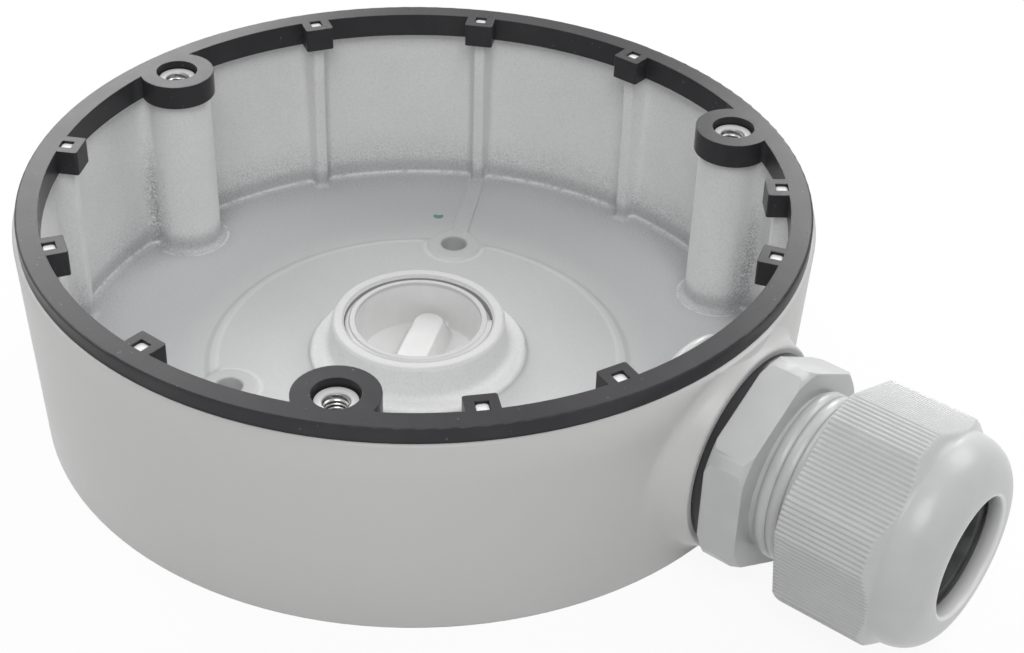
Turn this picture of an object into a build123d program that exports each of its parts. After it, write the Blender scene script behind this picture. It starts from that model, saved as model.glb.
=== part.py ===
from build123d import *
import os
from math import cos, radians, sin, tan

# Round wall box that a dome camera screws to, modelled with its open side up.
# Lengths are millimetres. The origin is the centre of the back face, +Z points away
# from the wall, and +X runs along the cable gland.

# Drum of the housing
rim_radius = 68.5
base_inset = 1.6
rim_height = 37.7
lip_drop = 0.25
lip_width = 0.6
wall_thickness = 2.6
inside_corner = 1.2

# Floor, from the wall inwards
floor_thickness = 3.4
plateau_rise = 1.0
plateau_radius = 36.7
ramp_width = 2.3
ramp_edge = 2.5
step_rise = 1.2
step_width = 3.3
collar_height = 11.8
collar_wall = 2.2
collar_draft = 0.8
collar_edge = 0.8
collar_blend = 1.5
step_edge = 0.6

# Posts for the camera's screws
post_inset = 8.0
screw_count = 3
first_screw_angle = 60.0
post_radius = 5.6
post_draft = 0.5
post_shoulder = 0.15
post_blend = 2.0
landing_radius = 3.4
landing_rise = 1.3
thread_hole_radius = 2.0
thread_mouth_radius = 2.35
thread_hole_depth = 14.0

# Screw pads and low ribs on the floor
pad_circle_diameter = 71.0
pad_radius = 4.95
pad_rise = 0.5
pad_draft = 32.0
wall_screw_radius = 2.5
floor_rib_width = 3.2
floor_rib_rise = 0.45

# Ribs up the wall, each with a square peg on top
rib_angles = (-40, -20, 20, 40, 90, 120, 150, -90, -120, -150)
rib_depth = 3.9
rib_tip_width = 2.0
rib_tip_edge = 0.35
rib_root_width = 4.8
peg_width = 2.0
peg_corner = 0.6
peg_rise = 2.25

# Rubber gasket on the rim
gasket_thickness = 2.7
gasket_setback = 0.1
gasket_width = 3.8
gasket_edge = 0.35
skirt_drop = 1.8
ear_wall = 1.15
ear_hole_radius = 3.8
sleeve_wall = 1.6
sleeve_corner = 0.45
rubber_gap = 0.1

# Rear cable entry and its plug
entry_bore_radius = 13.5
entry_mouth_chamfer = 0.4
recess_depth = 3.0
head_gap = 0.2
head_thickness = 1.3
head_overhang = 4.35
head_clearance = 0.6
shank_gap = 0.85
shank_top_drop = 0.3
shank_edge = 0.25
cup_wall = 1.15
cup_draft = 0.85
cup_floor_height = 3.0
bar_angle = 115.0
bar_end_reach = 0.45
bar_width = 8.6
bar_edge = 0.5
bar_rise = 3.3
bar_draft = 27.0
bar_skin = 1.5
coin_slot_length = 15.0
coin_slot_width = 2.6
plug_ring_gap = 1.2

# Gland boss on the wall
gland_height = 19.4
boss_rise = 2.1
boss_margin = 1.15
boss_draft = 20.0
boss_blend = 2.4
boss_edge = 0.5

# Gland body, from inside the box outwards
entry_thread_radius = 14.15
entry_hole_gap = 0.1
entry_thread_depth = 13.9
thread_height = 0.8
washer_thickness = 1.7
washer_width = 2.25
washer_gap = 0.05
flange_thickness = 6.9
flange_across_flats = 33.0
flange_corner_cut = 0.55
flange_chamfer = 0.9
cap_thread_radius = 14.1
cap_thread_length = 11.8
body_bore_radius = 10.3
mouth_wall = 1.3
mouth_depth = 8.0

# Cap nut
cap_gap = 7.3
band_length = 16.5
cap_across_flats = 36.0
cap_corner_cut = 1.5
cap_turn = 9.3
flute_count = 144
flute_depth = 0.35
band_chamfer = 0.5
dome_length = 7.1
dome_inset = 0.4
opening_lip = 0.85
opening_radius = 9.95
opening_depth = 2.7
opening_edge = 0.4
cap_thread_gap = 0.1
cone_length = 7.9
cone_end_step = 1.05

# Claw and seal inside the cap nut
claw_travel = 3.0
claw_gap = 0.1
claw_ring_wall = 1.3
claw_ring_length = 8.2
finger_step = 1.0
finger_gap = 0.35
finger_tip_gap = 2.4
finger_count = 12
slit_width = 1.2
slit_start = 3.5
seal_gap = 0.05
seal_bore_radius = 8.6
seal_front_gap = 0.7
seal_length = 19.0

# Sizes that follow: drum and floor
base_radius = rim_radius - base_inset
lip_height = rim_height - lip_drop
wall_slope = base_inset / lip_height
wall_inside_at_rim = base_radius + wall_slope * rim_height - wall_thickness
wall_inside_at_floor = base_radius + wall_slope * floor_thickness - wall_thickness
plateau_top = floor_thickness + plateau_rise
step_top = plateau_top + step_rise
collar_radius = entry_bore_radius + collar_wall
collar_foot_radius = collar_radius + collar_draft
step_radius = collar_foot_radius + step_width
pad_top = plateau_top + pad_rise
pad_foot_radius = pad_radius + (pad_top - floor_thickness) * tan(radians(pad_draft))
screw_circle_radius = rim_radius - post_inset

# Sizes that follow: gasket, and the ribs and pegs that hold it
skirt_bottom = rim_height - skirt_drop
skirt_radius = base_radius + wall_slope * skirt_bottom - wall_thickness - rubber_gap
gasket_radius = rim_radius - lip_width - gasket_setback
gasket_inner_radius = gasket_radius - gasket_width
ear_radius = post_radius + rubber_gap + ear_wall
rib_tip_radius = wall_inside_at_rim - rib_depth
rib_top = skirt_bottom - rubber_gap
post_shoulder_radius = post_radius + post_shoulder
post_foot_radius = post_shoulder_radius + (rib_top - floor_thickness) * tan(radians(post_draft))
peg_middle = rib_tip_radius + peg_width / 2
peg_hole_width = peg_width + 2 * rubber_gap
sleeve_width = peg_hole_width + 2 * sleeve_wall
sleeve_depth = sleeve_wall + peg_hole_width + sleeve_wall / 2
sleeve_middle = peg_middle - peg_hole_width / 2 - sleeve_wall + sleeve_depth / 2

# Sizes that follow: rear entry and plug
entry_mouth_radius = entry_bore_radius + entry_mouth_chamfer
shank_radius = entry_bore_radius - shank_gap
plug_top = collar_height - shank_top_drop
head_radius = shank_radius + head_overhang
head_top = head_gap + head_thickness
recess_radius = head_radius + head_clearance
cup_rim_radius = shank_radius - cup_wall
cup_floor_radius = cup_rim_radius - cup_draft
bar_length = 2 * (cup_floor_radius + bar_end_reach)
bar_top = cup_floor_height + bar_rise
plug_ring_section = (recess_depth - head_top) / 2
plug_ring_radius = shank_radius + plug_ring_gap + plug_ring_section

# Sizes that follow: gland boss and gland body
washer_bore_radius = entry_thread_radius + washer_gap
washer_radius = washer_bore_radius + washer_width
boss_face = rim_radius + boss_rise
boss_radius = washer_radius + boss_margin
boss_root = base_radius - boss_radius
boss_root_radius = boss_radius + (boss_face - boss_root) * tan(radians(boss_draft))
entry_hole_radius = entry_thread_radius + entry_hole_gap
entry_end = boss_face - entry_thread_depth
entry_core_radius = entry_thread_radius - thread_height
flange_back = boss_face + washer_thickness
flange_front = flange_back + flange_thickness
flange_corner_radius = flange_across_flats / 2 / cos(radians(30)) - flange_corner_cut
cap_core_radius = cap_thread_radius - thread_height
mouth_radius = cap_core_radius - mouth_wall
mouth_face = flange_front + cap_thread_length
mouth_floor = mouth_face - mouth_depth

# Sizes that follow: cap nut, claw and seal
cap_corner_radius = cap_across_flats / 2 / cos(radians(30)) - cap_corner_cut
cap_back = flange_front + cap_gap
band_end = cap_back + band_length
dome_end = band_end + dome_length
dome_radius = cap_across_flats / 2 - dome_inset
band_shoulder = band_end - (cap_corner_radius - dome_radius)
lip_radius = opening_radius + opening_lip
cap_bore_radius = cap_thread_radius + cap_thread_gap
cone_end = dome_end - opening_depth
cone_start = cone_end - cone_length
cone_end_radius = opening_radius + cone_end_step
cone_slope = (cap_bore_radius - cone_end_radius) / cone_length
claw_ring_radius = mouth_radius - claw_gap
claw_bore_radius = claw_ring_radius - claw_ring_wall
claw_back = mouth_floor + claw_travel + claw_gap
claw_shoulder = claw_back + claw_ring_length
claw_front = cone_end - finger_tip_gap
finger_radius = mouth_radius + finger_step
finger_tip_radius = cap_bore_radius - cone_slope * (claw_front - cone_start) - finger_gap
finger_bend = cone_start + (cap_bore_radius - finger_gap - finger_radius) / cone_slope
seal_radius = claw_bore_radius - seal_gap
seal_front = cone_end - seal_front_gap
seal_back = seal_front - seal_length

# The gland's own planes: one square to its axis, one through it.
gland_plane = Plane(origin=(0, 0, gland_height), x_dir=(0, 1, 0), z_dir=(1, 0, 0))
gland_section = Plane(origin=(0, 0, gland_height), x_dir=(1, 0, 0), z_dir=(0, -1, 0))
gland_axis = Axis((0, 0, gland_height), (1, 0, 0))


def turned(plane, axis, corners, mode=Mode.ADD):
    """Turn a closed outline of corners round an axis into the part being built."""
    with BuildSketch(plane) as outline:
        with BuildLine():
            Polyline(*corners, close=True)
        make_face()
    revolve(outline.sketch, axis=axis, mode=mode)


def gland_turned(corners, mode=Mode.ADD):
    """Turn corners given as (distance along the gland, radius) round the gland's axis."""
    turned(gland_section, gland_axis, corners, mode)


def round_corner(sketch, corner, radius):
    """Round the corner of a sketch that lies at a given point."""
    fillet(sketch.vertices().sort_by_distance(corner)[0], radius)


def wall_seams(casting):
    """Tall curved edges that the last step made, where it meets the drafted wall."""
    curved = casting.edges(Select.NEW).filter_by(GeomType.LINE, reverse=True)
    return curved.filter_by(lambda edge: edge.bounding_box().size.Z > rim_height / 2)


def fluted_outline():
    """Corners of the cap nut's section: a hexagon with rounded corners, cut by fine flutes."""
    corners = []
    step = 360 / (2 * flute_count)
    for index in range(2 * flute_count):
        angle = index * step
        from_flat = (angle - cap_turn + 30) % 60 - 30
        radius = min(cap_across_flats / 2 / cos(radians(from_flat)), cap_corner_radius)
        radius -= flute_depth * (index % 2)
        corners.append((radius * cos(radians(angle)), radius * sin(radians(angle))))
    return corners


# Housing: one casting
with BuildPart() as housing:
    # Drafted drum with a round boss for the gland. The drum is made too tall, so that the
    # boss blends into it all the way round, and then cut level at the back and the lip.
    overrun = boss_root_radius
    overrun_slope = wall_slope * overrun
    turned(
        Plane.XZ,
        Axis.Z,
        [
            (0, -overrun),
            (base_radius - overrun_slope, -overrun),
            (rim_radius + overrun_slope, lip_height + overrun),
            (0, lip_height + overrun),
        ],
    )
    gland_turned([(boss_root, 0), (boss_root, boss_root_radius), (boss_face, boss_radius), (boss_face, 0)])
    boss_seam = housing.edges().filter_by(GeomType.CIRCLE, reverse=True)
    boss_seam = boss_seam.filter_by(GeomType.LINE, reverse=True)
    fillet(boss_seam, boss_blend)
    fillet(housing.edges().sort_by(Axis.X)[-1], boss_edge)
    split(bisect_by=Plane.XY, keep=Keep.TOP)
    split(bisect_by=Plane.XY.offset(lip_height), keep=Keep.BOTTOM)
    # Bevelled lip that the gasket sits inside.
    turned(
        Plane.XZ,
        Axis.Z,
        [(0, lip_height), (rim_radius, lip_height), (rim_radius - lip_width, rim_height), (0, rim_height)],
    )
    # Inside of the box: drafted wall and level floor.
    turned(
        Plane.XZ,
        Axis.Z,
        [
            (0, floor_thickness),
            (wall_inside_at_floor, floor_thickness),
            (wall_inside_at_rim, rim_height),
            (0, rim_height),
        ],
        mode=Mode.SUBTRACT,
    )
    # Posts that carry the camera, blended into the wall up to the gasket's skirt.
    with BuildSketch(Plane.XY.offset(floor_thickness)):
        with PolarLocations(screw_circle_radius, screw_count, start_angle=first_screw_angle):
            Circle(post_foot_radius)
    extrude(amount=rib_top - floor_thickness, taper=post_draft)
    fillet(wall_seams(housing), post_blend)
    # Wall ribs, and a round where ribs, posts, wall and floor meet.
    with BuildSketch(Plane.XY.offset(floor_thickness)) as rib_plan:
        rib_reach = wall_inside_at_rim - rib_tip_radius
        for angle in rib_angles:
            with PolarLocations(rib_tip_radius, 1, start_angle=angle):
                Polygon(
                    (0, -rib_tip_width / 2),
                    (rib_reach, -rib_root_width / 2),
                    (rib_reach, rib_root_width / 2),
                    (0, rib_tip_width / 2),
                    align=None,
                )
        tip_corners = rib_plan.vertices().group_by(lambda corner: round(Vector(corner.X, corner.Y).length))[0]
        fillet(tip_corners, rib_tip_edge)
    extrude(amount=rib_top - floor_thickness)
    floor_seams = housing.edges().filter_by(lambda edge: abs(edge.center().Z - floor_thickness) < 0.01)
    fillet(wall_seams(housing) + floor_seams, inside_corner)
    # Floor's plateau, step and collar.
    with BuildSketch(Plane.XZ) as middle:
        with BuildLine():
            Polyline(
                (0, 0),
                (plateau_radius + ramp_width, 0),
                (plateau_radius + ramp_width, floor_thickness),
                (plateau_radius, plateau_top),
                (step_radius, plateau_top),
                (step_radius, step_top),
                (collar_foot_radius, step_top),
                (collar_radius, collar_height),
                (0, collar_height),
                close=True,
            )
        make_face()
        round_corner(middle, (plateau_radius, plateau_top), ramp_edge)
        round_corner(middle, (step_radius, plateau_top), step_edge)
        round_corner(middle, (step_radius, step_top), step_edge)
        round_corner(middle, (collar_foot_radius, step_top), collar_blend)
        round_corner(middle, (collar_radius, collar_height), collar_edge)
    revolve(axis=Axis.Z)
    # Bare ends of the posts inside the skirt, with their landings and tapped holes.
    with BuildSketch(Plane.XY.offset(rib_top)):
        with PolarLocations(screw_circle_radius, screw_count, start_angle=first_screw_angle):
            Circle(post_radius)
    extrude(amount=rim_height - rib_top)
    with BuildSketch(Plane.XY.offset(rim_height)):
        with PolarLocations(screw_circle_radius, screw_count, start_angle=first_screw_angle):
            Circle(landing_radius)
    extrude(amount=landing_rise)
    with Locations((0, 0, rim_height + landing_rise)):
        with PolarLocations(screw_circle_radius, screw_count, start_angle=first_screw_angle):
            CounterSinkHole(thread_hole_radius, thread_mouth_radius, thread_hole_depth)
    # Square pegs on the ribs, which hold the gasket.
    with BuildSketch(Plane.XY.offset(rib_top)):
        for angle in rib_angles:
            with PolarLocations(peg_middle, 1, start_angle=angle):
                RectangleRounded(peg_width, peg_width, peg_corner)
    extrude(amount=rim_height + peg_rise - rib_top)
    # Low ribs on the floor, from each pad to the wall.
    for index in range(screw_count):
        turn = radians(index * 360 / screw_count)
        rib_plane = Plane(origin=(0, 0, 0), x_dir=(cos(turn), sin(turn), 0), z_dir=(sin(turn), -cos(turn), 0))
        with BuildSketch(rib_plane):
            with BuildLine():
                Polyline(
                    (pad_circle_diameter / 2, floor_thickness),
                    (pad_circle_diameter / 2, plateau_top + floor_rib_rise),
                    (plateau_radius, plateau_top + floor_rib_rise),
                    (plateau_radius + ramp_width, floor_thickness + floor_rib_rise),
                    (wall_inside_at_floor, floor_thickness + floor_rib_rise),
                    (wall_inside_at_floor, floor_thickness),
                    close=True,
                )
            make_face()
        extrude(amount=floor_rib_width / 2, both=True)
    # Round pads for the wall screws.
    with BuildSketch(Plane.XY.offset(floor_thickness)):
        with PolarLocations(pad_circle_diameter / 2, screw_count):
            Circle(pad_foot_radius)
    extrude(amount=pad_top - floor_thickness, taper=pad_draft)
    with Locations((0, 0, pad_top)):
        with PolarLocations(pad_circle_diameter / 2, screw_count):
            Hole(wall_screw_radius, pad_top)
    # Rear entry: threaded bore up through the collar, and the recess for the plug's head.
    turned(
        Plane.XZ,
        Axis.Z,
        [
            (0, 0),
            (recess_radius, 0),
            (recess_radius, recess_depth),
            (entry_bore_radius, recess_depth),
            (entry_bore_radius, collar_height - entry_mouth_chamfer),
            (entry_mouth_radius, collar_height),
            (0, collar_height),
        ],
        mode=Mode.SUBTRACT,
    )
    # Side entry for the gland.
    gland_turned(
        [(boss_root, 0), (boss_root, entry_hole_radius), (boss_face, entry_hole_radius), (boss_face, 0)],
        mode=Mode.SUBTRACT,
    )
housing.part.label = "housing"

# Rim gasket: ring, skirt, ears and sleeves in one moulding
with BuildPart() as rim_gasket:
    with BuildSketch(Plane.XY.offset(rim_height)):
        Circle(gasket_radius)
        Circle(gasket_inner_radius, mode=Mode.SUBTRACT)
        with PolarLocations(screw_circle_radius, screw_count, start_angle=first_screw_angle):
            Circle(ear_radius)
            Circle(ear_hole_radius, mode=Mode.SUBTRACT)
        for angle in rib_angles:
            with PolarLocations(sleeve_middle, 1, start_angle=angle):
                RectangleRounded(sleeve_depth, sleeve_width, sleeve_corner)
            with PolarLocations(peg_middle, 1, start_angle=angle):
                Rectangle(peg_hole_width, peg_hole_width, mode=Mode.SUBTRACT)
    extrude(amount=gasket_thickness)
    with BuildSketch(Plane.XY.offset(skirt_bottom)):
        Circle(gasket_radius)
        Circle(gasket_inner_radius, mode=Mode.SUBTRACT)
        with PolarLocations(screw_circle_radius, screw_count, start_angle=first_screw_angle):
            Circle(ear_radius)
        for angle in rib_angles:
            with PolarLocations(sleeve_middle, 1, start_angle=angle):
                RectangleRounded(sleeve_depth, sleeve_width, sleeve_corner)
            with PolarLocations(peg_middle, 1, start_angle=angle):
                Rectangle(peg_hole_width, peg_hole_width, mode=Mode.SUBTRACT)
        with PolarLocations(screw_circle_radius, screw_count, start_angle=first_screw_angle):
            Circle(post_radius + rubber_gap, mode=Mode.SUBTRACT)
        Circle(skirt_radius, mode=Mode.INTERSECT)
    extrude(amount=skirt_drop)
    # The longest edge on top is the outer one.
    fillet(rim_gasket.edges().group_by(Axis.Z)[-1].sort_by(SortBy.LENGTH)[-1], gasket_edge)
rim_gasket.part.label = "rim_gasket"

# Plug in the rear entry: cup with a coin slot from behind
with BuildPart() as entry_plug:
    turned(
        Plane.XZ,
        Axis.Z,
        [
            (0, head_gap),
            (head_radius, head_gap),
            (head_radius, head_top),
            (shank_radius, head_top),
            (shank_radius, plug_top - shank_edge),
            (shank_radius - shank_edge, plug_top),
            (cup_rim_radius, plug_top),
            (cup_floor_radius, cup_floor_height),
            (0, cup_floor_height),
        ],
    )
    bar_plane = Plane.XY.offset(cup_floor_height).rotated((0, 0, bar_angle))
    with BuildSketch(bar_plane):
        SlotOverall(bar_length, bar_width)
    extrude(amount=bar_rise, taper=bar_draft)
    fillet(entry_plug.edges().filter_by_position(Axis.Z, bar_top, bar_top), bar_edge)
    slot_plane = Plane.XY.offset(head_gap).rotated((0, 0, bar_angle))
    with BuildSketch(slot_plane):
        SlotOverall(coin_slot_length, coin_slot_width)
    extrude(amount=bar_top - bar_skin - head_gap, mode=Mode.SUBTRACT)
entry_plug.part.label = "entry_plug"

# Rubber ring under the plug's head
with BuildPart() as plug_seal:
    with BuildSketch(Plane.XZ):
        with Locations((plug_ring_radius, head_top + plug_ring_section)):
            Circle(plug_ring_section)
    revolve(axis=Axis.Z)
plug_seal.part.label = "plug_seal"

# Flat washer between the boss and the gland's flange
with BuildPart() as gland_washer:
    with BuildSketch(gland_plane.offset(boss_face)):
        Circle(washer_radius)
        Circle(washer_bore_radius, mode=Mode.SUBTRACT)
    extrude(amount=washer_thickness)
gland_washer.part.label = "gland_washer"

# Gland body: wall thread, hexagon flange and cap thread on one tube
with BuildPart() as gland_body:
    with BuildSketch(gland_plane.offset(flange_back)):
        RegularPolygon(flange_across_flats / 2, 6, major_radius=False, rotation=30)
    extrude(amount=flange_thickness)
    gland_turned(
        [
            (flange_back, 0),
            (flange_back, flange_corner_radius - flange_chamfer),
            (flange_back + flange_chamfer, flange_corner_radius),
            (flange_front - flange_chamfer, flange_corner_radius),
            (flange_front, flange_corner_radius - flange_chamfer),
            (flange_front, 0),
        ],
        mode=Mode.INTERSECT,
    )
    gland_turned(
        [
            (entry_end, 0),
            (entry_end, entry_core_radius),
            (flange_back, entry_core_radius),
            (flange_front, cap_core_radius),
            (mouth_face, cap_core_radius),
            (mouth_face, 0),
        ]
    )
    gland_turned(
        [
            (entry_end, 0),
            (entry_end, body_bore_radius),
            (mouth_floor, body_bore_radius),
            (mouth_floor, mouth_radius),
            (mouth_face, mouth_radius),
            (mouth_face, 0),
        ],
        mode=Mode.SUBTRACT,
    )
gland_body.part.label = "gland_body"

# Cap nut: fluted hexagonal band that ends in a smooth dome
with BuildPart() as gland_cap_nut:
    with BuildSketch(gland_plane.offset(cap_back)):
        with BuildLine():
            Polyline(*fluted_outline(), close=True)
        make_face()
    extrude(amount=band_length)
    gland_turned(
        [
            (cap_back, 0),
            (cap_back, cap_corner_radius - band_chamfer),
            (cap_back + band_chamfer, cap_corner_radius),
            (band_shoulder, cap_corner_radius),
            (band_end, dome_radius),
            (band_end, 0),
        ],
        mode=Mode.INTERSECT,
    )
    with BuildSketch(gland_section):
        with BuildLine():
            Line((cap_back, 0), (cap_back, dome_radius))
            Line((cap_back, dome_radius), (band_end, dome_radius))
            EllipticalCenterArc(
                (band_end, lip_radius),
                dome_length,
                dome_radius - lip_radius,
                start_angle=0,
                arc_size=90,
            )
            Line((dome_end, lip_radius), (dome_end, 0))
            Line((dome_end, 0), (cap_back, 0))
        make_face()
    revolve(axis=gland_axis)
    gland_turned(
        [
            (cap_back, 0),
            (cap_back, cap_bore_radius),
            (cone_start, cap_bore_radius),
            (cone_end, cone_end_radius),
            (cone_end, opening_radius),
            (dome_end - opening_edge, opening_radius),
            (dome_end, opening_radius + opening_edge),
            (dome_end, 0),
        ],
        mode=Mode.SUBTRACT,
    )
gland_cap_nut.part.label = "gland_cap_nut"

# Claw: ring of slit fingers that the cap nut's cone closes on the seal
with BuildPart() as gland_claw:
    gland_turned(
        [
            (claw_back, claw_bore_radius),
            (claw_back, claw_ring_radius),
            (claw_shoulder, claw_ring_radius),
            (claw_shoulder, finger_radius),
            (finger_bend, finger_radius),
            (claw_front, finger_tip_radius),
            (claw_front, claw_bore_radius),
        ]
    )
    slit_length = claw_front - claw_back - slit_start
    with BuildSketch(gland_plane.offset(claw_front)):
        with PolarLocations((claw_bore_radius + finger_radius) / 2, finger_count):
            Rectangle(finger_radius, slit_width)
    extrude(amount=-slit_length, mode=Mode.SUBTRACT)
gland_claw.part.label = "gland_claw"

# Rubber seal that the claw squeezes on the cable
with BuildPart() as gland_seal:
    with BuildSketch(gland_plane.offset(seal_back)):
        Circle(seal_radius)
        Circle(seal_bore_radius, mode=Mode.SUBTRACT)
    extrude(amount=seal_length)
gland_seal.part.label = "gland_seal"

os.makedirs("parts", exist_ok=True)
pieces = (
    housing,
    rim_gasket,
    entry_plug,
    plug_seal,
    gland_washer,
    gland_body,
    gland_cap_nut,
    gland_claw,
    gland_seal,
)
for piece in pieces:
    export_step(piece.part, f"parts/{piece.part.label}.step")
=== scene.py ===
# %% [markdown]
# # Camera mount adapter
# A round cast box that carries a dome camera, with a rubber gasket on its rim, a plastic
# plug in its rear entry and a nylon cable gland in its side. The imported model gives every
# piece its size and place, so this file only dresses it: screw threads, flutes, edges,
# finishes, floor, light and camera.

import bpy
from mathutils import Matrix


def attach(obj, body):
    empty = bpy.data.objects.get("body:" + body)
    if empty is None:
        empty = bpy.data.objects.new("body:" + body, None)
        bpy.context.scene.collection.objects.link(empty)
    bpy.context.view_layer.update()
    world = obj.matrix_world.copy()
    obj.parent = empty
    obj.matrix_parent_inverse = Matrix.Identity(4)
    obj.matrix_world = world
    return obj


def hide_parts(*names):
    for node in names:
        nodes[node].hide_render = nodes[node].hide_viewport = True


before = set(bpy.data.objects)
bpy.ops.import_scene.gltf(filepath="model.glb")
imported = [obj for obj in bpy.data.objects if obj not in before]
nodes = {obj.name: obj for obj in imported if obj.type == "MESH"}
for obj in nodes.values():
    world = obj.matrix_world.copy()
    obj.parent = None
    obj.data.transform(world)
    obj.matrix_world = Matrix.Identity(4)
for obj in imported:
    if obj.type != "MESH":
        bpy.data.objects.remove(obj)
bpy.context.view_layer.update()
for name, node in nodes.items():
    print(name, len(node.data.polygons), "faces")

# %% Helpers that the whole file uses
from math import cos, pi, radians, sin, tau

import bpy
import numpy as np
from mathutils import Matrix, Quaternion, Vector

scene = bpy.context.scene
MM = 0.001


def place(name, data):
    """Put a new object with this data in the scene."""
    piece = bpy.data.objects.new(name, data)
    scene.collection.objects.link(piece)
    return piece


# %% [markdown]
# ## Camera
# The photograph was taken from the front right and a good way above, so the rim is an
# ellipse and the far wall shows inside it. A camera could be placed by eye, but here it was
# worked out from the rim, the ears and the cable gland, so that each edge falls on its own
# edge in the photograph. It leans about two degrees to one side, as a hand-held camera does.

# %% Camera
camera_place = Vector((0.18351, -0.20735, 0.20922))
camera_aim = Vector((0.03907, -0.02240, 0.0404))
camera_lean = radians(1.895)

camera_data = bpy.data.cameras.new("camera")
camera_data.lens = 65.92
camera_data.sensor_width = 36
camera = place("camera", camera_data)
look = (camera_aim - camera_place).to_track_quat("-Z", "Y")
camera.rotation_mode = "QUATERNION"
camera.rotation_quaternion = look @ Quaternion((0, 0, 1), camera_lean)
camera.location = camera_place
scene.camera = camera
print("camera stands", round((camera_aim - camera_place).length, 4), "m from its aim")

# %% [markdown]
# ## Mixing a finish
# Every finish below starts from one Principled shader and gets its life from noise that is
# measured in millimetres on the piece. Painting an image would need a flattened map of each
# piece. Noise in the piece's own coordinates needs none, and it stays in place when the
# piece moves.


# %% A small kit for finishes
class Finish:
    """A material under work: its nodes are added one at a time and joined by sockets."""

    def __init__(self, name, roughness, specular=0.5):
        self.material = bpy.data.materials.new(name)
        self.material.use_nodes = True
        self.tree = self.material.node_tree
        self.shader = self.tree.nodes["Principled BSDF"]
        self.shader.inputs["Roughness"].default_value = roughness
        self.shader.inputs["Specular IOR Level"].default_value = specular
        self.place = self.tree.nodes.new("ShaderNodeTexCoord").outputs["Object"]

    def feed(self, socket, value):
        """Give a socket a plain value, or join it to another node's output."""
        if isinstance(value, bpy.types.NodeSocket):
            self.tree.links.new(value, socket)
        else:
            socket.default_value = value

    def math(self, operation, *values):
        """One step of arithmetic."""
        node = self.tree.nodes.new("ShaderNodeMath")
        node.operation = operation
        for socket, value in zip(node.inputs, values):
            self.feed(socket, value)
        return node.outputs[0]

    def times(self, first, *others):
        """The product of any number of masks and amounts."""
        for other in others:
            first = self.math("MULTIPLY", first, other)
        return first

    def most(self, first, *others):
        """The largest of any number of masks."""
        for other in others:
            first = self.math("MAXIMUM", first, other)
        return first

    def axes_mm(self):
        """The place on the piece, as three numbers in millimetres."""
        parts = self.tree.nodes.new("ShaderNodeSeparateXYZ")
        self.feed(parts.inputs[0], self.place)
        return [self.math("DIVIDE", part, MM) for part in parts.outputs]

    def diagonal(self, first, second):
        """How far two numbers reach together, at a right angle."""
        return self.math("SQRT", self.math("ADD", self.times(first, first), self.times(second, second)))

    def fade(self, value, start, end):
        """Rise softly from 0 at start to 1 at end; start may be the larger of the two."""
        node = self.tree.nodes.new("ShaderNodeMapRange")
        node.interpolation_type = "SMOOTHSTEP"
        self.feed(node.inputs["Value"], value)
        node.inputs["From Min"].default_value = start
        node.inputs["From Max"].default_value = end
        return node.outputs[0]

    def blend(self, amount, under, over):
        """A number that goes from one value to another, by an amount from 0 to 1."""
        node = self.tree.nodes.new("ShaderNodeMix")
        self.feed(node.inputs["Factor"], amount)
        self.feed(node.inputs["A"], under)
        self.feed(node.inputs["B"], over)
        return node.outputs["Result"]

    def grain(self, size_mm, detail=2.0, rough=0.5):
        """Noise whose lumps are about this many millimetres across."""
        node = self.tree.nodes.new("ShaderNodeTexNoise")
        self.feed(node.inputs["Vector"], self.place)
        node.inputs["Scale"].default_value = 1 / (size_mm * MM)
        node.inputs["Detail"].default_value = detail
        node.inputs["Roughness"].default_value = rough
        return node.outputs["Fac"]

    def tint(self, amount, under, over):
        """Lay one colour over another, by an amount from 0 to 1."""
        node = self.tree.nodes.new("ShaderNodeMix")
        node.data_type = "RGBA"
        self.feed(node.inputs["Factor"], amount)
        self.feed(node.inputs["A"], under)
        self.feed(node.inputs["B"], over)
        return node.outputs["Result"]

    def skin(self, height, depth, edge):
        """Raise the surface by a height from 0 to 1, times the depth, and round its edges."""
        edges = self.tree.nodes.new("ShaderNodeBevel")
        edges.samples = 4
        self.feed(edges.inputs["Radius"], edge)
        relief = self.tree.nodes.new("ShaderNodeBump")
        relief.inputs["Distance"].default_value = depth
        self.feed(relief.inputs["Height"], height)
        self.feed(relief.inputs["Normal"], edges.outputs["Normal"])
        self.feed(self.shader.inputs["Normal"], relief.outputs["Normal"])

    def color(self, value):
        """Set the base colour."""
        self.feed(self.shader.inputs["Base Color"], value)


def grey(level, warm=0.0):
    """A colour near grey: warm shifts it towards cream, and a negative warm towards blue."""
    return (level * (1 + warm), level, level * (1 - warm), 1)


# %% [markdown]
# ## Powder coat on the casting
# The housing is cast aluminium under a light grey powder coat. Outside, the coat is a smooth
# satin with a fine orange peel. Inside, the charged powder lies well on the wall, the posts
# and the raised middle, but thinly in the corners, where it looks grey and grainy; there the
# colour is also painted darker, as painted shade. The inner wall is painted lighter than the
# floor and the outside, as painted light. It could be two materials, split by face, but a
# casting is one piece with one coat. So one material does it all, and soft masks by place say
# how thick the powder lies and where light and shade are painted. All masks are measured in
# millimetres, from the sizes of the imported model.

# %% Where on the casting
coat = Finish("powder_coat", 0.4)
x, y, z = coat.axes_mm()
radius = coat.diagonal(x, y)
WALL_SLOPE = 0.0427
MID_WALL, INSIDE_WALL = 65.9, 65.5
upright_wall = coat.math("SUBTRACT", radius, coat.times(z, WALL_SLOPE))
inside = coat.times(coat.fade(upright_wall, MID_WALL, INSIDE_WALL), coat.fade(z, 1.0, 2.0))

level_place = coat.tree.nodes.new("ShaderNodeCombineXYZ")
coat.feed(level_place.inputs["X"], x)
coat.feed(level_place.inputs["Y"], y)


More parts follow.
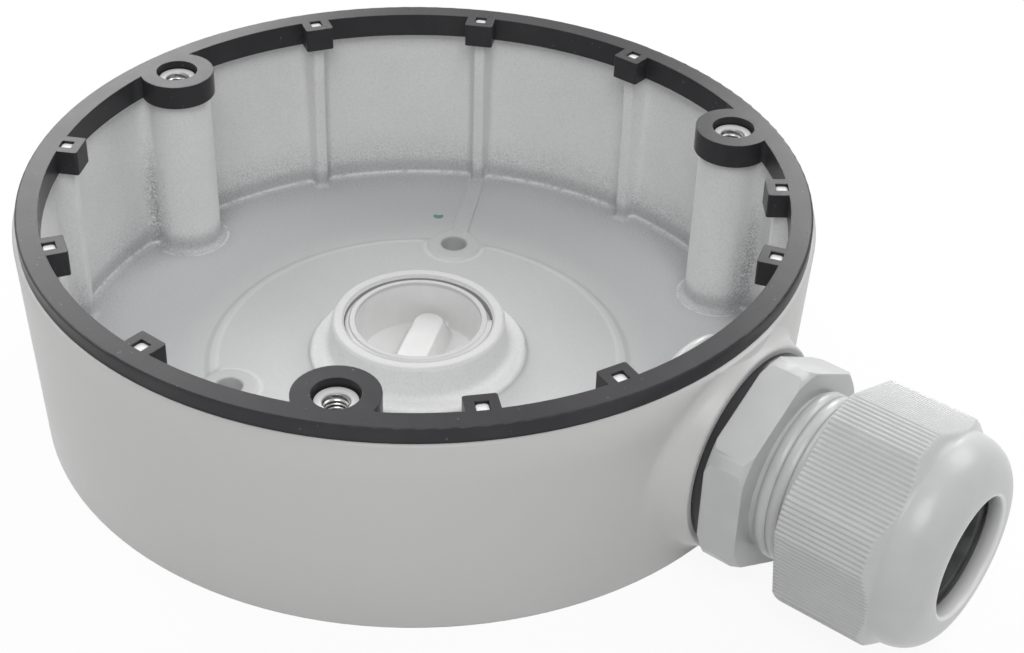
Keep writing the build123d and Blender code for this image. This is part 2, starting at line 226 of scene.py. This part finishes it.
def nearest(angles, circle):
    """How far away the nearest of three places on a circle is."""
    least = None
    for angle in angles:
        gap = coat.tree.nodes.new("ShaderNodeVectorMath")
        gap.operation = "DISTANCE"
        coat.feed(gap.inputs[0], level_place.outputs[0])
        gap.inputs[1].default_value = (circle * cos(radians(angle)), circle * sin(radians(angle)), 0)
        reach = gap.outputs["Value"]
        least = reach if least is None else coat.math("MINIMUM", least, reach)
    return least


def band(value, start, end, soft=0.4):
    """1 between start and end, with soft borders."""
    return coat.times(coat.fade(value, start - soft, start), coat.fade(value, end + soft, end))


# %% Posts and pads
POST_CIRCLE, POST_ANGLES = 60.5, (60, 180, 300)
PAD_CIRCLE, PAD_ANGLES = 35.5, (0, 120, 240)
POST_RADIUS, PAD_RADIUS = 5.6, 5.0
POST_TOP = 38.4
nearest_post = nearest(POST_ANGLES, POST_CIRCLE)
nearest_pad = nearest(PAD_ANGLES, PAD_CIRCLE)
in_hole = coat.times(coat.fade(z, POST_TOP + 0.5, POST_TOP + 0.2), coat.fade(z, 20.0, 20.5))
tapped = coat.times(coat.fade(nearest_post, 2.55, 2.35), in_hole)
landing = coat.times(coat.fade(nearest_post, 4.6, 4.4), coat.fade(z, POST_TOP, POST_TOP + 0.3))
print("posts and pads are found by their distance from", len(POST_ANGLES) + len(PAD_ANGLES), "middles")

# %% [markdown]
# The powder is thin in three places: the ring of floor outside the raised middle, the groove
# where floor and wall meet, and the hollows on both sides of each post. These are also the
# places where shade falls, as are the feet of the posts, so the same masks paint shade there
# as well as grain. Each is a mask. Fine noise breaks the masks up into specks, so that no
# border shows.

# %% Thin powder and painted shade
PLATEAU_RADIUS, RAMP_FOOT, WALL_FOOT = 36.7, 39.0, 64.5
outer_floor = coat.times(coat.fade(radius, RAMP_FOOT - 0.5, RAMP_FOOT + 6.0), coat.fade(z, 6.2, 4.6))
groove = coat.times(coat.fade(radius, WALL_FOOT - 9.5, WALL_FOOT), coat.fade(z, 15.0, 3.0))
beside_post = coat.times(
    coat.fade(nearest_post, POST_RADIUS + 3.6, POST_RADIUS + 1.0),
    coat.fade(nearest_post, POST_RADIUS, POST_RADIUS + 0.8),
)
by_the_wall = coat.fade(radius, WALL_FOOT - 5.5, WALL_FOOT - 2.7)
hollow = coat.times(beside_post, by_the_wall, coat.fade(z, 30.0, 12.0))
foot = coat.times(coat.fade(nearest_post, POST_RADIUS + 4.9, POST_RADIUS + 0.6), coat.fade(z, 10.0, 3.6))
# Thin powder and painted shade in one mask: the groove, the hollows and the posts' feet.
thin_and_shaded = coat.most(coat.times(groove, 0.75), hollow, coat.times(foot, 0.7))

fine_grain = coat.grain(0.38, 3.0, 0.7)
patches = coat.fade(coat.grain(5.0, 3.0, 0.6), 0.36, 0.62)
clouds = coat.fade(coat.grain(14.0, 3.0, 0.6), 0.3, 0.7)
specks = coat.fade(fine_grain, 0.50, 0.62)
print("thin powder: outer floor, groove, hollows and feet of the posts")

# %% [markdown]
# On small rounded edges the colour is painted lighter, as painted highlights and to lift the
# shade that falls there: on the slope round the raised middle, on the sides of the pads and of
# the low ribs that run from them to the wall, and along the seams of the wall and the posts
# with the floor.

# %% Painted highlights on edges
low_rib = None
for angle in PAD_ANGLES:
    along_x, along_y = cos(radians(angle)), sin(radians(angle))
    outwards = coat.math("ADD", coat.times(x, along_x), coat.times(y, along_y))
    sideways = coat.math("ABSOLUTE", coat.math("SUBTRACT", coat.times(x, along_y), coat.times(y, along_x)))
    side = coat.times(coat.fade(outwards, 38.0, 42.0), band(sideways, 1.5, 1.7, 0.3))
    low_rib = side if low_rib is None else coat.most(low_rib, side)

near_floor = coat.fade(z, 6.2, 5.6)
beside_pad = coat.fade(nearest_pad, PAD_RADIUS + 0.8, PAD_RADIUS + 1.6)
slope = coat.times(band(radius, PLATEAU_RADIUS - 0.1, PLATEAU_RADIUS + 0.9, 0.7), near_floor, beside_pad)
pad_side = coat.times(band(nearest_pad, PAD_RADIUS, PAD_RADIUS + 0.9), near_floor)
pad_top = coat.times(coat.fade(nearest_pad, PAD_RADIUS, PAD_RADIUS - 0.3), near_floor)
wall_seam = coat.times(coat.fade(radius, WALL_FOOT - 1.7, WALL_FOOT - 1.1), band(z, 3.9, 4.0, 0.3))
post_ring = band(nearest_post, POST_RADIUS + 1.7, POST_RADIUS + 1.8, 0.3)
post_seam = coat.times(post_ring, coat.fade(z, 4.6, 4.0), coat.fade(radius, WALL_FOOT - 2.5, WALL_FOOT - 4.5))
broken = coat.fade(coat.grain(1.6, 3.0, 0.7), 0.34, 0.56)
# The seams get a broken bright line, a painted highlight.
seam_highlight = coat.times(coat.most(wall_seam, post_seam), broken)
print("painted highlights: slope, pads, low ribs and seams")

# %% [markdown]
# The colour is laid on in the order in which the masks were made, from the large areas to the
# small marks. Each amount says how much of the new shade covers what is there. Much of it is
# painted light and shade: the wall is painted lighter than the floor, and the ring of floor
# outside the raised middle darker. The level tops of the pads and the collar take more light
# than their sides, so they get a darker shade. The bore of the collar is painted darkest, as
# painted shade, so that the narrow gap round the plug shows as a dark line.

# %% Colour inside
COLLAR_TOP, COLLAR_REACH, BORE_REACH = 11.8, 26.0, 14.2
on_wall = coat.times(coat.fade(z, 5.5, 8.0), coat.fade(radius, 40.0, 46.0))
# Painted light: the wall is painted lighter than the floor.
wall_painted_lighter = coat.tint(clouds, grey(0.76, -0.001), grey(0.79, -0.002))
# Painted shade: the ring of floor outside the raised middle is darker.
floor_painted_darker = coat.tint(outer_floor, grey(0.555, -0.006), grey(0.535, -0.010))
level_top = coat.fade(z, COLLAR_TOP - 0.5, COLLAR_TOP - 0.1)
collar_shade = coat.tint(level_top, grey(0.76, -0.002), grey(0.60, -0.002))
collar = coat.times(coat.fade(z, 4.7, 5.2), coat.fade(radius, COLLAR_REACH + 4.0, COLLAR_REACH))
shade = coat.tint(on_wall, coat.tint(collar, floor_painted_darker, collar_shade), wall_painted_lighter)

grain_amount = coat.times(coat.fade(fine_grain, 0.42, 0.66), coat.blend(outer_floor, 0.20, 0.42))
shade = coat.tint(grain_amount, shade, grey(0.44, -0.014))
# Painted shade with grain: the thin places, and the hollows most of all, are painted darker.
shade = coat.tint(coat.times(thin_and_shaded, coat.fade(fine_grain, 0.3, 0.6), 0.65), shade, grey(0.40, -0.016))
shade = coat.tint(coat.times(specks, thin_and_shaded, patches, 0.5), shade, grey(0.28, -0.02))
shade = coat.tint(coat.times(hollow, coat.fade(fine_grain, 0.34, 0.58), 0.55), shade, grey(0.24, -0.02))
shade = coat.tint(coat.times(pad_top, 0.6), shade, grey(0.49, -0.004))
# Painted light on the slope, the pads' sides and the low ribs, which lifts their shade.
shade = coat.tint(coat.times(coat.most(slope, coat.times(pad_side, 0.6)), 0.42), shade, grey(0.80, -0.004))
shade = coat.tint(coat.times(low_rib, near_floor, 0.45), shade, grey(0.78, -0.004))
in_bore = coat.times(
    coat.fade(radius, BORE_REACH + 0.3, BORE_REACH), coat.fade(z, COLLAR_TOP - 0.52, COLLAR_TOP - 0.72)
)
# Painted shade: the bore of the collar is painted near black, for the gap round the plug.
shade = coat.tint(coat.times(in_bore, 0.8), shade, grey(0.12))
# Painted highlight along the seams.
inside_shade = coat.tint(coat.times(seam_highlight, 0.42), shade, grey(0.92))

# %% Colour outside and on the posts' ends
outside_shade = coat.tint(coat.times(coat.grain(0.9), 0.10), grey(0.555, 0.006), grey(0.50, 0.006))
# Inside, the wall's colour is painted lighter than the outside, as painted light.
painted = coat.tint(inside, outside_shade, inside_shade)
painted = coat.tint(landing, painted, grey(0.68, 0.002))

# %% [markdown]
# On the floor there is a small green mark of ink. It is a crescent: an oval with a second oval
# bitten out of it. Both are measured along and across the stroke.

# %% Green mark
MARK_X, MARK_Y = -28.25, 38.18
STROKE_X, STROKE_Y = 0.79, 0.61
INK = (0.06, 0.22, 0.19, 1)
from_mark_x = coat.math("SUBTRACT", x, MARK_X)
from_mark_y = coat.math("SUBTRACT", y, MARK_Y)
along_mark = coat.math("ADD", coat.times(from_mark_x, STROKE_X), coat.times(from_mark_y, STROKE_Y))
across_mark = coat.math("SUBTRACT", coat.times(from_mark_y, STROKE_X), coat.times(from_mark_x, STROKE_Y))


def oval(shift, half_length, half_width):
    """How far outside an oval the place is: 1 on its line."""
    lengthwise = coat.math("DIVIDE", along_mark, half_length)
    crosswise = coat.math("DIVIDE", coat.math("SUBTRACT", across_mark, shift), half_width)
    return coat.math("ADD", coat.math("POWER", lengthwise, 2.0), coat.math("POWER", crosswise, 2.0))


whole = coat.fade(oval(0, 1.05, 0.9), 1.15, 0.85)
bitten = coat.fade(oval(0.95, 0.85, 0.55), 0.8, 1.15)
ink = coat.times(whole, bitten, inside, coat.fade(coat.grain(0.5), 0.15, 0.35))
painted = coat.tint(coat.times(ink, coat.fade(z, 5.0, 4.0), 0.85), painted, INK)

# %% [markdown]
# The threads in the posts are bare metal, so there the coat turns metallic and smooth. Thin
# powder is a little smoother than thick powder, too. The casting's floor has softer edges than
# the rest, because powder fills them.

# %% Feel of the coat
# In the tapped holes the coat turns bare metal, painted dark as shade down in the holes.
coat.color(coat.tint(tapped, painted, grey(0.36, 0.01)))
coat.feed(coat.shader.inputs["Metallic"], tapped)
dull = coat.blend(coat.times(inside, 0.7), 0.40, 0.46)
smooth = coat.most(tapped, coat.times(thin_and_shaded, patches, 0.6))
coat.feed(coat.shader.inputs["Roughness"], coat.blend(smooth, dull, 0.28))
by_the_floor = coat.times(inside, coat.fade(z, 9.0, 6.5))
lumps = coat.blend(inside, coat.times(coat.grain(1.1), 0.5), coat.times(fine_grain, 1.5))
coat.skin(lumps, 0.035 * MM, coat.blend(by_the_floor, 0.35 * MM, 0.9 * MM))
print("powder coat has", len(coat.tree.nodes), "nodes")

# %% [markdown]
# ## Black rubber
# The gasket is soft black rubber from a mould. Real rubber is never quite black: its skin has
# a dull sheen that mirrors a bright lamp at a low angle, and a few specks of dust sit on it.
# A fine noise gives the skin, and a rare, hard-edged noise gives the dust.

# %% Rubber
rubber = Finish("black_rubber", 0.3, 0.17)
dust = rubber.fade(rubber.grain(0.7, 1.0), 0.76, 0.79)
smears = rubber.fade(rubber.grain(9.0, 3.0), 0.40, 0.75)
DARK_RUBBER, LIGHT_RUBBER = (0.036, 0.034, 0.037, 1), (0.048, 0.046, 0.049, 1)
skin_shade = rubber.tint(rubber.times(smears, 0.6), DARK_RUBBER, LIGHT_RUBBER)
rubber.color(rubber.tint(rubber.times(dust, 0.5), skin_shade, grey(0.2)))
rubber.feed(rubber.shader.inputs["Roughness"], rubber.blend(rubber.grain(3.0, 3.0), 0.25, 0.34))
rubber.skin(rubber.grain(0.3, 2.0), 0.012 * MM, 0.2 * MM)
print("rubber has", len(rubber.tree.nodes), "nodes")

# %% [markdown]
# The seal inside the gland is a softer rubber, dark grey and a little glossy. It stands in the
# shade of the opening, so its grey has to be lighter than the gasket's for it to show at all.

# %% Seal rubber
seal_skin = Finish("seal_rubber", 0.4, 0.4)
bloom = seal_skin.fade(seal_skin.grain(3.0, 2.0), 0.35, 0.65)
seal_skin.color(seal_skin.tint(bloom, grey(0.085, -0.02), grey(0.125, -0.02)))
seal_skin.skin(seal_skin.grain(0.6, 2.0), 0.02 * MM, 0.2 * MM)
print("seal rubber has", len(seal_skin.tree.nodes), "nodes")

# %% [markdown]
# ## Light grey nylon
# The gland is moulded nylon: a little see-through, with a soft gloss from the mould's polish.
# Light that goes a millimetre deep and comes out again softens its edges and threads, so the
# shader gets a little subsurface scattering. The thin lip of the cap nut lets most light
# through, more than the shader's scattering gives, so there the nylon is lighter.

# %% Nylon
GLAND_HEIGHT = 19.4
nylon = Finish("light_grey_nylon", 0.3, 0.5)
mottle = nylon.fade(nylon.grain(5.0, 3.0), 0.3, 0.7)
gland_x, gland_y, gland_z = nylon.axes_mm()
from_axis = nylon.diagonal(gland_y, nylon.math("SUBTRACT", gland_z, GLAND_HEIGHT))
lip = nylon.times(nylon.fade(gland_x, 104.0, 106.5), nylon.fade(from_axis, 10.8, 10.2))
nylon_shade = nylon.tint(mottle, grey(0.524, -0.006), grey(0.545, -0.008))
nylon.color(nylon.tint(lip, nylon_shade, grey(0.78, -0.004)))
nylon.shader.inputs["Subsurface Weight"].default_value = 0.25
nylon.shader.inputs["Subsurface Radius"].default_value = (1.0, 1.0, 1.0)
nylon.shader.inputs["Subsurface Scale"].default_value = 0.9 * MM
nylon.feed(nylon.shader.inputs["Roughness"], nylon.blend(nylon.grain(2.0, 3.0), 0.26, 0.34))
nylon.skin(nylon.grain(0.9, 2.0), 0.006 * MM, 0.3 * MM)
print("nylon has", len(nylon.tree.nodes), "nodes")

# %% [markdown]
# ## White plastic
# The plug is a glossy white moulding. Moulded plastic shows faint flow marks, which are long
# noise here, and a fine unevenness in its gloss. Its level rim takes more light than the rest
# and gets a darker shade, as the collar's top does.

# %% Plug plastic
ivory = Finish("white_plastic", 0.22, 0.5)
flow = ivory.fade(ivory.grain(4.0, 2.0), 0.35, 0.65)
plug_x, plug_y, plug_z = ivory.axes_mm()
cup_rim = ivory.fade(plug_z, 10.6, 11.2)
plug_shade = ivory.tint(flow, grey(0.71, 0.003), grey(0.735, 0.002))
ivory.color(ivory.tint(cup_rim, plug_shade, grey(0.545, 0.003)))
ivory.feed(ivory.shader.inputs["Roughness"], ivory.blend(flow, 0.19, 0.26))
ivory.skin(ivory.grain(1.4, 1.0), 0.006 * MM, 0.3 * MM)
print("white plastic has", len(ivory.tree.nodes), "nodes")

# %% [markdown]
# ## Bare metal
# The posts are tapped after painting, so their threads are bare aluminium with fine cutting
# marks. Its colour is painted darker than bare aluminium would be in the open, as painted
# shade down in the holes.

# %% Cut metal
metal = Finish("cut_metal", 0.28)
metal.shader.inputs["Metallic"].default_value = 1
metal.color(metal.tint(metal.grain(0.2, 2.0), grey(0.30, 0.01), grey(0.48, 0.01)))
metal.skin(metal.grain(0.1, 2.0), 0.004 * MM, 0.05 * MM)
print("cut metal has", len(metal.tree.nodes), "nodes")

# %% [markdown]
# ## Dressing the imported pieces
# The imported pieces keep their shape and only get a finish. Their triangles don't share
# corners, so a weld joins them first. Their edges are knife sharp, and a moulded or cast
# edge never is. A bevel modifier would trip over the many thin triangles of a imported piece,
# so the finish rounds the edges instead: its bevel node bends the light there.

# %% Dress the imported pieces
def dress(node_name, finish):
    """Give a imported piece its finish."""
    piece = nodes[node_name]
    for slot in piece.material_slots:
        slot.material = finish.material
    weld = piece.modifiers.new("weld", "WELD")
    weld.merge_threshold = 1e-6


for node_name, finish in (
    ("housing", coat),
    ("rim_gasket", rubber),
    ("entry_plug", ivory),
    ("plug_seal", rubber),
    ("gland_washer", rubber),
    ("gland_body", nylon),
    ("gland_claw", nylon),
    ("gland_seal", seal_skin),
):
    dress(node_name, finish)
    print("dressed", node_name)

# %% [markdown]
# ## The cap nut
# The nut is the showpiece of the gland: a hexagon with round corners, cut by fine flutes for
# grip, that ends in a smooth dome. A boolean of a cone and a comb of cutters would make it,
# slowly and with ragged edges. Here it is one grid of points instead: each column runs from
# the back over the band and the dome into the opening, and each row goes once round.


# %% A skin from a grid of points
def skin_mesh(name, grid, close_rows=False):
    """Make a mesh of quads from a grid of points in millimetres; columns always close."""
    rows, columns, _ = grid.shape
    down = np.arange(rows if close_rows else rows - 1)[:, None]
    across = np.arange(columns)[None, :]
    below, beside = (down + 1) % rows, (across + 1) % columns
    quads = np.stack(
        [
            down * columns + across,
            down * columns + beside,
            below * columns + beside,
            below * columns + across,
        ],
        axis=-1,
    )
    mesh = bpy.data.meshes.new(name)
    mesh.from_pydata((grid.reshape(-1, 3) * MM).tolist(), [], quads.reshape(-1, 4).tolist())
    mesh.shade_smooth()
    mesh.update()
    return mesh


def finish_piece(name, mesh, finish, body):
    """Put a mesh in the scene with its finish, and let it ride on a body."""
    piece = place(name, mesh)
    mesh.materials.append(finish.material)
    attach(piece, body)
    print(name, len(mesh.polygons), "faces")
    return piece


# %% The cap nut's section
NUT_BACK, BAND_END, DOME_END = 86.5, 103.0, 110.1
FLAT_RADIUS, CORNER_RADIUS, DOME_RADIUS = 18.0, 19.285, 17.6
NUT_TURN = 9.3
FLUTES, FLUTE_DEPTH = 144, 0.3
COLUMNS = FLUTES * 6

angles = np.arange(COLUMNS) * tau / COLUMNS
from_flat = (np.degrees(angles) - NUT_TURN + 30) % 60 - 30
hexagon = np.minimum(FLAT_RADIUS / np.cos(np.radians(from_flat)), CORNER_RADIUS)
valley = np.clip(0.5 - 0.5 * np.cos(angles * FLUTES), 0, 1) ** 1.6
fluted = hexagon - FLUTE_DEPTH * valley
print("flutes are", round(tau * FLAT_RADIUS / FLUTES, 2), "mm apart")

# %% [markdown]
# The flutes stop where a cone cuts the band. In each column the crossing of flute and cone
# is known exactly, so the grid puts a row of points there, and the scalloped end of the
# flutes comes out crisp.

# %% The cap nut
ones = np.ones(COLUMNS)
meets_cone = BAND_END - np.maximum(fluted - DOME_RADIUS, 0.03)
stations = []


def station(distance, reach):
    """Add a row: its distance along the gland and its radius, a number or one per column."""
    stations.append((distance * ones, reach * ones))


BORE_RADIUS, SEAT_RADIUS, SEAT_LENGTH = 14.2, 11.0, 7.9
station(NUT_BACK, BORE_RADIUS)
station(NUT_BACK, fluted - 0.5)
station(NUT_BACK + 0.12, fluted - 0.2)
station(NUT_BACK + 0.45, fluted)
station(NUT_BACK + 1.2, fluted)
for share in (0.25, 0.5, 0.75):
    station(NUT_BACK + share * (BAND_END - NUT_BACK - 2.5), fluted)
station(meets_cone - 0.25, fluted)
station(meets_cone - 0.08, fluted - 0.01)
station(meets_cone + 0.06, fluted - 0.09)
station(meets_cone * 0.5 + BAND_END * 0.5, fluted * 0.5 + DOME_RADIUS * 0.5)
station(BAND_END, DOME_RADIUS)
LIP_RADIUS, OPENING_RADIUS, OPENING_DEPTH = 10.5, 9.95, 2.7
DOME_POWER = 2.2
for step in np.linspace(0.04, 1, 26):
    share = sin(step * pi / 2)
    height = (1 - share**DOME_POWER) ** (1 / DOME_POWER)
    station(BAND_END + (DOME_END - BAND_END) * share, LIP_RADIUS + (DOME_RADIUS - LIP_RADIUS) * height)
for step in np.linspace(0.2, 1, 5):
    bend = step * pi / 2
    edge = LIP_RADIUS - OPENING_RADIUS
    station(DOME_END - edge * (1 - cos(bend)), LIP_RADIUS - edge * sin(bend))
station(DOME_END - OPENING_DEPTH, OPENING_RADIUS)
station(DOME_END - OPENING_DEPTH, SEAT_RADIUS)
station(DOME_END - OPENING_DEPTH - SEAT_LENGTH, BORE_RADIUS)

distances = np.array([row[0] for row in stations])
reaches = np.array([row[1] for row in stations])
nut_grid = np.stack(
    [distances, reaches * np.cos(angles), reaches * np.sin(angles) + GLAND_HEIGHT], axis=-1
)
nut_mesh = skin_mesh("cap_nut", nut_grid, close_rows=True)
nut = finish_piece("cap_nut", nut_mesh, nylon, "cap_nut")
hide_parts("gland_cap_nut")

# %% [markdown]
# ## Screw threads
# A thread is a ridge that winds along a cylinder. Blender has a Screw modifier for that, but
# it can't fade a ridge out at its ends or cut it level with a face. Here the ridge's section
# is carried along the winding point by point, so both are a line of arithmetic.


# %% A winding ridge
def thread_mesh(name, root, crest, path, foot, top, fade_turns=(0.2, 0.2), ceiling=None, steps=96):
    """A right-handed ridge round +X; path is (first angle, first distance, last angle, last distance).

    foot and top are the widths of its section, and a crest below the root winds it inside a
    hole. fade_turns says over how much of a turn each end dies out, and nothing passes the
    ceiling.
    """
    first_angle, first, last_angle, last = path
    turns = (last_angle - first_angle) / 360
    travel = np.linspace(0, turns, int(turns * steps))
    turn = tau * travel + radians(first_angle)
    middle = first + (last - first) * travel / turns
    from_start, to_end = travel / max(fade_turns[0], 1e-6), (turns - travel) / max(fade_turns[1], 1e-6)
    swell = np.clip(np.minimum(from_start, to_end), 0, 1)
    swell = np.where(fade_turns[1] == 0, np.clip(from_start, 0, 1), swell)
    swell = swell * swell * (3 - 2 * swell)
    half = [
        (-foot / 2, None),
        (-foot / 2, 0.0),
        (-foot / 2 + 0.12 * (foot - top), 0.35),
        (-top / 2 - 0.04, 0.9),
        (-top / 4, 1.0),
    ]
    section = half + [(-across, height) for across, height in reversed(half)]
    sunk = root - 0.12 * np.sign(crest - root)
    grid = np.zeros((len(section), len(travel), 3))
    for index, (across, height) in enumerate(section):
        reach = sunk if height is None else root + (crest - root) * height * swell
        grid[index, :, 0] = middle + across
        grid[index, :, 1] = reach * np.cos(turn)
        grid[index, :, 2] = reach * np.sin(turn)
    if ceiling is not None:
        grid[:, :, 0] = np.minimum(grid[:, :, 0], ceiling)
    rows, columns, _ = grid.shape
    quads = []
    for row in range(rows):
        below = (row + 1) % rows
        for column in range(columns - 1):
            here, under = row * columns + column, below * columns + column
            quads.append((here, here + 1, under + 1, under))
    quads.append(tuple(row * columns for row in range(rows)))
    quads.append(tuple(row * columns + columns - 1 for row in reversed(range(rows))))
    if crest < root:
        quads = [tuple(reversed(quad)) for quad in quads]
    mesh = bpy.data.meshes.new(name)
    mesh.from_pydata((grid.reshape(-1, 3) * MM).tolist(), [], quads)
    mesh.shade_smooth()
    return mesh


# %% [markdown]
# The gland's two threads are coarse and round, because they are moulded. The one under the
# cap nut shows three turns between the flange and the nut. The other goes through the wall,
# and its end shows inside the box. Both die out softly at their ends.

# %% Threads of the gland
CAP_PITCH = 2.0
CAP_THREAD_START, CAP_THREAD_END = 80.4, 90.0
WALL_THREAD_START, WALL_THREAD_END = 57.4, 70.2
to_gland = Matrix.Translation((0, 0, GLAND_HEIGHT * MM))
for name, root, crest, start, end in (
    ("cap_thread", 13.74, 14.1, CAP_THREAD_START, CAP_THREAD_END),
    ("wall_thread", 13.35, 14.15, WALL_THREAD_START, WALL_THREAD_END),
):
    path = (0, start, 360 * (end - start) / CAP_PITCH, end)
    mesh = thread_mesh(name, root, crest, path, 2.0, 0.8)
    mesh.transform(to_gland)
    finish_piece(name, mesh, nylon, "box")

# %% [markdown]
# The plug's thread is a plain ridge with a blunt start at its top. Its shank is threaded, but
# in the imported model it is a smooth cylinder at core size, so the ridge goes round that.

# %% Thread of the plug
PLUG_TOP, PLUG_CORE, PLUG_CREST = 11.5, 12.65, 13.42
PLUG_PITCH = 1.8143
THREAD_START_ANGLE, THREAD_TURNS = 39, 3.8
upright = Matrix(((0, 1, 0, 0), (0, 0, 1, 0), (1, 0, 0, 0), (0, 0, 0, 1)))
top_middle = PLUG_TOP - 0.1
path = (
    THREAD_START_ANGLE - 360 * THREAD_TURNS,
    top_middle - PLUG_PITCH * THREAD_TURNS,
    THREAD_START_ANGLE,
    top_middle,
)
mesh = thread_mesh("plug_thread", PLUG_CORE, PLUG_CREST, path, 1.25, 0.45, (0.3, 0), PLUG_TOP - 0.01)
mesh.transform(upright)
finish_piece("plug_thread", mesh, ivory, "plug")

# %% [markdown]
# The tapped holes take the camera's screws. Their threads wind inwards from the hole's wall,
# fine and sharp, and catch the light in bright turns.

# %% Threads of the posts
TAP_PITCH = 0.7
HOLE_RADIUS, TAP_CREST = 2.0, 1.66
TAP_LOW, TAP_HIGH = 29.0, 38.4
for number, angle in enumerate(POST_ANGLES, start=1):
    path = (0, TAP_LOW, 360 * (TAP_HIGH - TAP_LOW) / TAP_PITCH, TAP_HIGH)
    name = f"post_thread_{number}"
    mesh = thread_mesh(name, HOLE_RADIUS, TAP_CREST, path, 0.6, 0.12, (0.5, 0.5), None, 40)
    outwards = POST_CIRCLE * MM
    middle = (outwards * cos(radians(angle)), outwards * sin(radians(angle)), 0)
    mesh.transform(Matrix.Translation(middle) @ upright)
    finish_piece(name, mesh, metal, "box")

# %% [markdown]
# ## Floor and light
# The photograph was lit by a tent: soft light from all round, with two bright panels behind
# the box and a gap between them. The panels show as the bright left and right of the gasket,
# and the gap as its dark middle. A plain sky stands in for the tent, two small lamps for the
# panels, and three large lamps for its bright sides. Their powers could be guessed. Here each
# lamp was rendered alone first, and the mix that came nearest to the photograph was kept. The
# sky and the floor look white to the camera, and the floor still takes the object's shadow.

# %% Floor
floor_mesh = bpy.data.meshes.new("floor")
FLOOR_HALF = 3.0
FLOOR_DROP = -0.00002
floor_mesh.from_pydata(
    [
        (-FLOOR_HALF, -FLOOR_HALF, FLOOR_DROP),
        (FLOOR_HALF, -FLOOR_HALF, FLOOR_DROP),
        (FLOOR_HALF, FLOOR_HALF, FLOOR_DROP),
        (-FLOOR_HALF, FLOOR_HALF, FLOOR_DROP),
    ],
    [],
    [(0, 1, 2, 3)],
)
floor = place("floor", floor_mesh)


def seen_directly(tree):
    """1 for rays from the camera, a mirror or a pane, and 0 for rays that light a surface."""
    path = tree.nodes.new("ShaderNodeLightPath")
    first = tree.nodes.new("ShaderNodeMath")
    first.operation = "MAXIMUM"
    tree.links.new(path.outputs["Is Camera Ray"], first.inputs[0])
    tree.links.new(path.outputs["Is Glossy Ray"], first.inputs[1])
    both = tree.nodes.new("ShaderNodeMath")
    both.operation = "MAXIMUM"
    tree.links.new(first.outputs[0], both.inputs[0])
    tree.links.new(path.outputs["Is Transmission Ray"], both.inputs[1])
    return both.outputs[0]


FLOOR_GLOW = 0.92
sheet = Finish("floor_sheet", 0.9, 0.0)
sheet.color(grey(0.82))
glow = sheet.tree.nodes.new("ShaderNodeEmission")
mixer = sheet.tree.nodes.new("ShaderNodeMixShader")
sheet.feed(mixer.inputs["Fac"], sheet.math("MULTIPLY", seen_directly(sheet.tree), FLOOR_GLOW))
sheet.feed(mixer.inputs[1], sheet.shader.outputs[0])
sheet.feed(mixer.inputs[2], glow.outputs[0])
sheet.feed(sheet.tree.nodes["Material Output"].inputs["Surface"], mixer.outputs[0])
floor_mesh.materials.append(sheet.material)

# %% Sky
world = bpy.data.worlds.new("studio")
world.use_nodes = True
scene.world = world
sky = world.node_tree.nodes["Background"]
sky.inputs["Color"].default_value = (1, 1, 1, 1)
level = world.node_tree.nodes.new("ShaderNodeMix")
world.node_tree.links.new(seen_directly(world.node_tree), level.inputs["Factor"])
SKY_LIGHT = 0.33
level.inputs["A"].default_value = SKY_LIGHT
level.inputs["B"].default_value = 1.0
world.node_tree.links.new(level.outputs["Result"], sky.inputs["Strength"])


# %% Lamps
LAMP_DISTANCE = 1.2
LIT_MIDDLE = Vector((0.02, 0, 0.02))


def soft_lamp(name, turn, climb, size, power):
    """A square lamp that faces the box, so many degrees from +Y towards -X and so many up."""
    data = bpy.data.lights.new(name, "AREA")
    data.shape = "SQUARE"
    data.size = size
    data.energy = power
    lamp = place(name, data)
    level, upwards = LAMP_DISTANCE * cos(radians(climb)), LAMP_DISTANCE * sin(radians(climb))
    lamp.location = (-level * sin(radians(turn)), level * cos(radians(turn)), upwards)
    lamp.rotation_mode = "QUATERNION"
    lamp.rotation_quaternion = (LIT_MIDDLE - lamp.location).to_track_quat("-Z", "Y")
    print(name, "gives", power, "W")


soft_lamp("front_lamp", turn=221, climb=55, size=0.6, power=5.7)
soft_lamp("left_lamp", turn=90, climb=45, size=0.6, power=3.8)
soft_lamp("right_lamp", turn=340, climb=45, size=0.6, power=4.1)
soft_lamp("left_panel", turn=58, climb=27, size=0.42, power=3.6)
soft_lamp("right_panel", turn=18, climb=26, size=0.30, power=3.6)

scene.view_settings.view_transform = "Standard"
